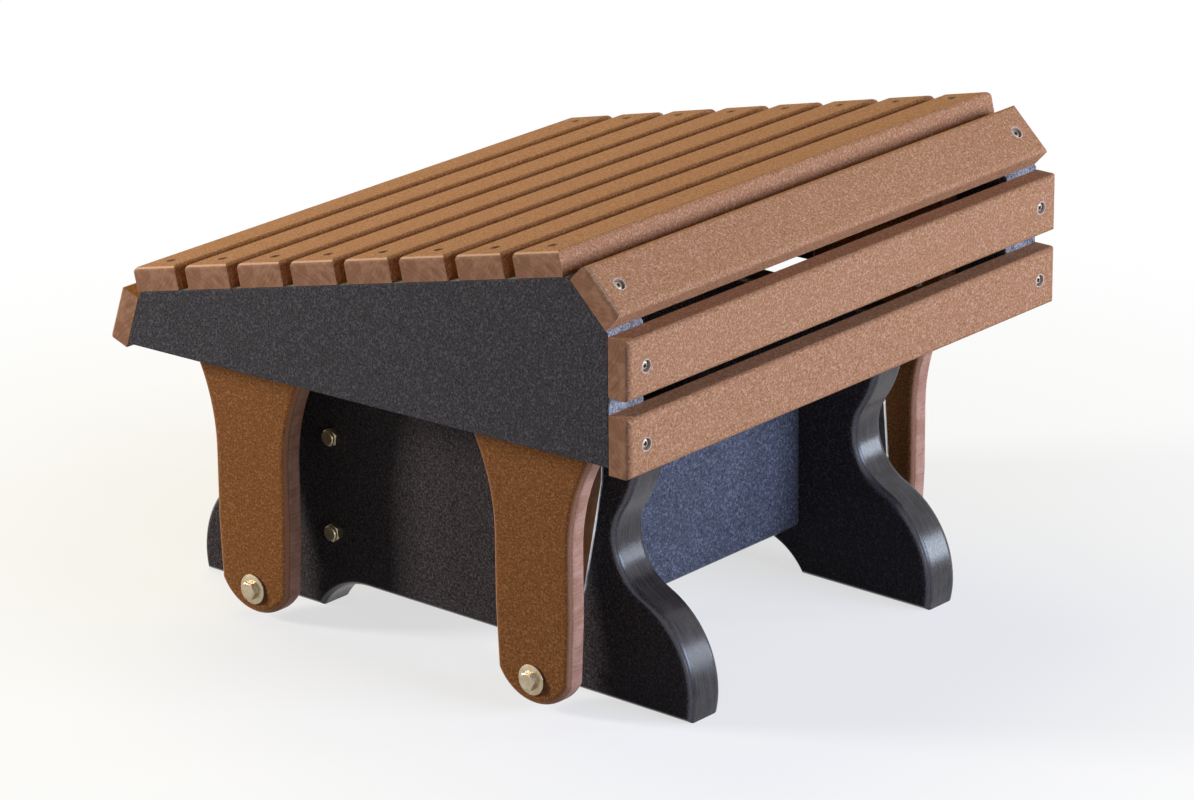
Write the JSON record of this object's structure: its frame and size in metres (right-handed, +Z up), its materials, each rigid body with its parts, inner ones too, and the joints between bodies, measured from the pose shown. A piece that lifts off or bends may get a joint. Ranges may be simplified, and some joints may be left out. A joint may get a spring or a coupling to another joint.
{
  "type": "glider ottoman",
  "caption": "Low slatted footrest that glides to and fro on swinging links hung from arched base boards; its deck slopes down to the rear.",
  "frame": {"origin": "on the floor, under the middle of the whole ottoman", "axes": "+X across to the right seen from the high front end, -Y towards the high front end, +Z up"},
  "size_m": [0.495, 0.5074, 0.371],
  "materials": {
    "deck": "fine mottled matte grain",
    "leg_board": "fine mottled matte grain",
    "black_board": "fine matte grain, edges a little worn",
    "base_black": "matte faces, rounded edges with a dull sheen",
    "link_steel": "zinc plated",
    "bolt_steel": "bright zinc",
    "screw_steel": "stainless",
    "bushing_plastic": "smooth"
  },
  "bodies": {
    "base": {"base_board_left": "base_black", "base_board_right": "base_black", "cross_panel_front": "base_black", "cross_panel_nuts": "bolt_steel", "cross_panel_rear": "base_black", "hanger_bolts": "bolt_steel", "upper_pivot_bolts": "bolt_steel", "upper_pivot_head_washers": "bolt_steel", "upper_pivot_nut_washers": "bolt_steel", "upper_pivot_nuts": "bolt_steel", "upper_pivot_spacers": "bolt_steel"},
    "link_front_left": {"link_bushings_front_left": "bushing_plastic", "link_front_left": "link_steel"},
    "link_front_right": {"link_bushings_front_right": "bushing_plastic", "link_front_right": "link_steel"},
    "link_rear_left": {"link_bushings_rear_left": "bushing_plastic", "link_rear_left": "link_steel"},
    "link_rear_right": {"link_bushings_rear_right": "bushing_plastic", "link_rear_right": "link_steel"},
    "seat": {"bevel_slat": "deck", "front_slat_lower": "deck", "front_slat_upper": "deck", "leg_front_left": "leg_board", "leg_front_right": "leg_board", "leg_rear_left": "leg_board", "leg_rear_right": "leg_board", "leg_screws": "screw_steel", "lower_pivot_bolts": "bolt_steel", "lower_pivot_head_washers": "bolt_steel", "lower_pivot_nut_washers": "bolt_steel", "lower_pivot_nuts": "bolt_steel", "lower_pivot_spacers": "bolt_steel", "nose_slat": "deck", "side_panel_left": "black_board", "side_panel_right": "black_board", "slat_screws": "screw_steel", "top_slat_1": "deck", "top_slat_2": "deck", "top_slat_3": "deck", "top_slat_4": "deck", "top_slat_5": "deck", "top_slat_6": "deck", "top_slat_7": "deck", "top_slat_8": "deck"}
  },
  "joints": [
    {"name": "glide", "type": "hinge", "parent": "base", "child": "link_front_left", "pos_m": [0, -0.13876, 0.19], "axis": [1, 0, 0], "range_deg": [-10, 10]},
    {"name": "link_front_right_swing", "type": "hinge", "parent": "base", "child": "link_front_right", "pos_m": [0, -0.13876, 0.19], "axis": [1, 0, 0], "range_deg": [-10, 10]},
    {"name": "link_rear_left_swing", "type": "hinge", "parent": "base", "child": "link_rear_left", "pos_m": [0, 0.15926, 0.19], "axis": [1, 0, 0], "range_deg": [-10, 10]},
    {"name": "link_rear_right_swing", "type": "hinge", "parent": "base", "child": "link_rear_right", "pos_m": [0, 0.15926, 0.19], "axis": [1, 0, 0], "range_deg": [-10, 10]},
    {"name": "seat_pivot", "type": "hinge", "parent": "link_front_left", "child": "seat", "pos_m": [0, -0.12846, 0.0255], "axis": [1, 0, 0], "range_deg": [-10.8, 10.8]}
  ],
  "couplings": [
    {"joint": "link_front_right_swing", "follows": "glide", "ratio": 1},
    {"joint": "link_rear_left_swing", "follows": "glide", "ratio": 1},
    {"joint": "link_rear_right_swing", "follows": "glide", "ratio": 1},
    {"joint": "seat_pivot", "follows": "glide", "ratio": -1.0747}
  ]
}
